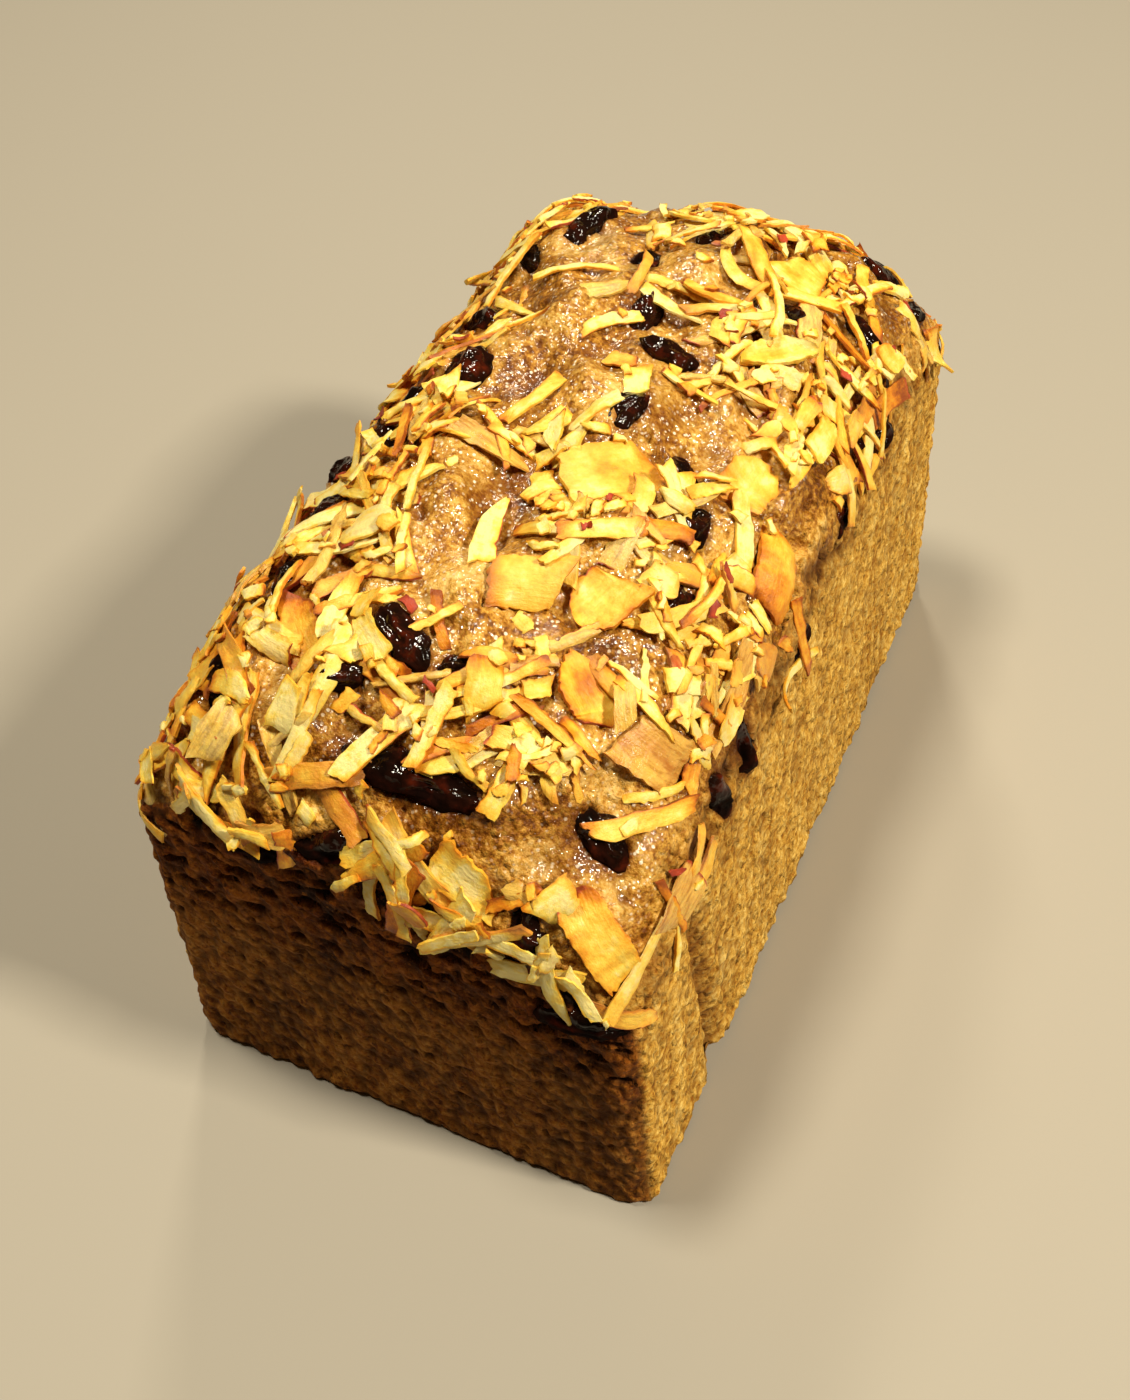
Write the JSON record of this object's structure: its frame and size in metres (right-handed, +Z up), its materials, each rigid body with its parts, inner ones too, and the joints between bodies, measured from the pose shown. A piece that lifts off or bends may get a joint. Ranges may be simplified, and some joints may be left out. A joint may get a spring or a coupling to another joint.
{
  "type": "banana bread",
  "caption": "Whole uncut loaf of banana bread with a domed crust, raisins and toasted flakes baked into the top, and bare crumbly sides.",
  "frame": {"origin": "centre of the bounding box at the flat bottom of the loaf", "axes": "+Z up, +Y along the loaf, near end with the sunk right corner at -Y, +X across"},
  "size_m": [0.0954, 0.1728, 0.1082],
  "materials": {
    "crumb": "baked cake: open golden-brown crumb on the sides and bottom, browned crust with a damp shine on the crown",
    "raisin": "wrinkled, nearly black, glossy dried fruit",
    "toasted_flake": "ivory to golden toasted slivers and flakes with orange-brown edges and a soft waxy sheen"
  },
  "bodies": {
    "root": {"loaf": "crumb", "raisin_01": "raisin", "raisin_02": "raisin", "raisin_03": "raisin", "raisin_04": "raisin", "raisin_05": "raisin", "raisin_06": "raisin", "raisin_07": "raisin", "raisin_08": "raisin", "raisin_09": "raisin", "raisin_10": "raisin", "raisin_11": "raisin", "raisin_12": "raisin", "raisin_13": "raisin", "raisin_14": "raisin", "raisin_15": "raisin", "raisin_16": "raisin", "raisin_17": "raisin", "raisin_18": "raisin", "raisin_19": "raisin", "raisin_20": "raisin", "raisin_21": "raisin", "raisin_22": "raisin", "raisin_23": "raisin", "raisin_24": "raisin", "raisin_25": "raisin", "raisin_26": "raisin", "raisin_27": "raisin", "raisin_28": "raisin", "raisin_29": "raisin", "raisin_30": "raisin", "raisin_31": "raisin", "raisin_32": "raisin", "raisin_33": "raisin", "raisin_34": "raisin", "raisin_35": "raisin", "raisin_36": "raisin", "raisin_37": "raisin", "raisin_38": "raisin", "toasted_flake_01": "toasted_flake", "toasted_flake_02": "toasted_flake", "toasted_flake_03": "toasted_flake", "toasted_flake_04": "toasted_flake", "toasted_flake_05": "toasted_flake", "toasted_flake_06": "toasted_flake", "toasted_flake_07": "toasted_flake", "toasted_flake_08": "toasted_flake", "toasted_flake_09": "toasted_flake", "toasted_flake_10": "toasted_flake", "toasted_flake_11": "toasted_flake", "toasted_flake_12": "toasted_flake", "toasted_flake_13": "toasted_flake", "toasted_flake_14": "toasted_flake"}
  },
  "joints": []
}
